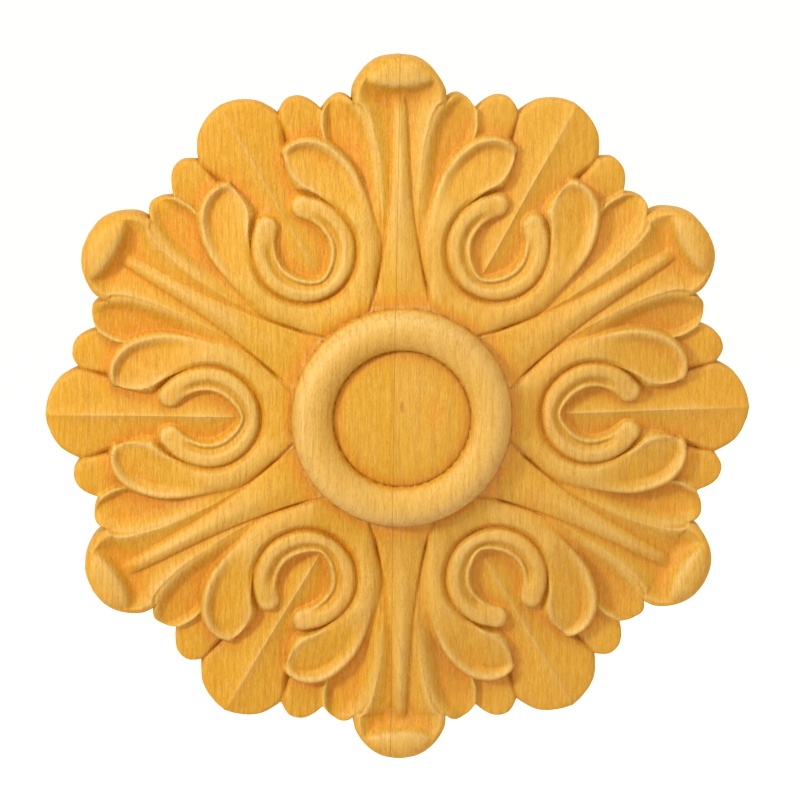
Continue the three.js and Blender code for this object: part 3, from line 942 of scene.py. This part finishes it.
def rosette_piece(sizes, colours):
    """The whole rosette as one closed piece, with the depth of its grooves and valleys for the colours."""
    bm = thinned(half_leaf(sizes), sizes.face_count)
    onto_axes(bm)
    all_round(bm)
    for name, depths in zip(("groove", "valley"), hollows(bm)):
        layer = bm.verts.layers.float.new(name)
        for vert, depth in zip(bm.verts, depths):
            vert[layer] = depth
    close_back(bm)
    upright(bm)
    bmesh.ops.recalc_face_normals(bm, faces=bm.faces)
    for face in bm.faces:
        face.smooth = True
        face.material_index = int(lies_on_wall(face))
    for edge in bm.edges:
        edge.smooth = edge.calc_face_angle(0) < sharp_angle
    mesh = bpy.data.meshes.new("carved_rosette")
    bm.to_mesh(mesh)
    bm.free()
    mesh.materials.append(carved_beech(colours))
    mesh.materials.append(sawn_beech(colours))
    piece = bpy.data.objects.new("carved_rosette", mesh)
    bpy.context.scene.collection.objects.link(piece)
    return piece


class ROSETTE_OT_carve(bpy.types.Operator):
    """Carve the rosette in beech"""

    bl_idname = "rosette.carve"
    bl_label = "Carve Rosette"
    bl_options = {"REGISTER", "UNDO"}

    def execute(self, context):
        piece = rosette_piece(context.scene.rosette_sizes, context.scene.rosette_colours)
        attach(piece, "root")
        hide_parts("rosette")
        return {"FINISHED"}


def pale_floor():
    finish = Finish("pale_floor")
    speckle = finish.noise(finish.place(), (30, 30, 30), 2.0)
    colour = finish.mixed(speckle, (0.93, 0.93, 0.93), (0.96, 0.96, 0.96))
    matt = {"Specular IOR Level": 0.0}
    return finish.finished(colour, 0.8 + speckle * 0.1, speckle, 0.1 * mm, **matt)


def area_light(name, place, size, energy, colour):
    """A round light that shines at the rosette's centre."""
    lamp = bpy.data.lights.new(name, "AREA")
    lamp.shape = "DISK"
    lamp.size = size
    lamp.energy = energy
    lamp.color = colour
    light = bpy.data.objects.new(name, lamp)
    light.location = place
    light.rotation_euler = (-Vector(place)).to_track_quat("-Z", "Y").to_euler()
    bpy.context.scene.collection.objects.link(light)


class ROSETTE_OT_stage(bpy.types.Operator):
    """Set up the camera, the soft light and the pale floor"""

    bl_idname = "rosette.stage"
    bl_label = "Set Up Studio"
    bl_options = {"REGISTER", "UNDO"}

    def execute(self, context):
        scene = context.scene
        studio, sizes = scene.rosette_studio, scene.rosette_sizes
        a, e = studio.azimuth, studio.elevation
        back = Vector((math.sin(a) * math.cos(e), -math.cos(a) * math.cos(e), math.sin(e)))
        turn = (-back).to_track_quat("-Z", "Y")
        right, up = turn @ Vector((1, 0, 0)), turn @ Vector((0, 1, 0))
        aim = Vector((0, -sizes.edge / 2, 0)) + right * studio.aim_right + up * studio.aim_up
        camera = bpy.data.cameras.new("camera")
        camera.lens = studio.lens
        view = bpy.data.objects.new("camera", camera)
        distance = studio.view_width * camera.lens / camera.sensor_width
        view.location = aim + back * distance
        view.rotation_euler = (turn.to_matrix() @ Matrix.Rotation(-studio.roll, 3, "Z")).to_euler()
        camera.clip_start, camera.clip_end = 0.05, 200
        scene.collection.objects.link(view)
        scene.camera = view

        bm = bmesh.new()
        bmesh.ops.create_grid(bm, x_segments=2, y_segments=2, size=floor_reach)
        bmesh.ops.translate(bm, verts=bm.verts, vec=(0, 0, -studio.floor_drop))
        mesh = bpy.data.meshes.new("floor")
        bm.to_mesh(mesh)
        bm.free()
        mesh.materials.append(pale_floor())
        floor = bpy.data.objects.new("floor", mesh)
        scene.collection.objects.link(floor)

        area_light("key_light", key_place, key_size, studio.key_energy, key_colour)
        area_light("top_light", top_place, top_size, studio.top_energy, top_colour)
        world = bpy.data.worlds.new("soft_sky")
        world.use_nodes = True
        sky = world.node_tree.nodes["Background"]
        sky.inputs["Color"].default_value = sky_colour
        sky.inputs["Strength"].default_value = studio.sky_strength
        scene.world = world
        scene.view_settings.view_transform = "Standard"
        return {"FINISHED"}


class ROSETTE_PT_panel(bpy.types.Panel):
    """Lists what the rosette is made of"""

    bl_idname = "ROSETTE_PT_panel"
    bl_label = "Carved Rosette"
    bl_space_type = "VIEW_3D"
    bl_region_type = "UI"
    bl_category = "Rosette"

    def draw(self, context):
        scene = context.scene
        for group in (scene.rosette_sizes, scene.rosette_colours, scene.rosette_studio):
            box = self.layout.box()
            for name in group.__annotations__:
                box.prop(group, name)
        self.layout.operator(ROSETTE_OT_carve.bl_idname)
        self.layout.operator(ROSETTE_OT_stage.bl_idname)


classes = (RosetteSizes, BeechColours, StudioSettings, ROSETTE_OT_carve, ROSETTE_OT_stage, ROSETTE_PT_panel)


def register():
    for cls in classes:
        bpy.utils.register_class(cls)
    bpy.types.Scene.rosette_sizes = PointerProperty(type=RosetteSizes)
    bpy.types.Scene.rosette_colours = PointerProperty(type=BeechColours)
    bpy.types.Scene.rosette_studio = PointerProperty(type=StudioSettings)


def unregister():
    del bpy.types.Scene.rosette_studio
    del bpy.types.Scene.rosette_colours
    del bpy.types.Scene.rosette_sizes
    for cls in reversed(classes):
        bpy.utils.unregister_class(cls)


def main():
    register()
    bpy.ops.rosette.stage()
    bpy.ops.rosette.carve()


if __name__ == "__main__":
    main()
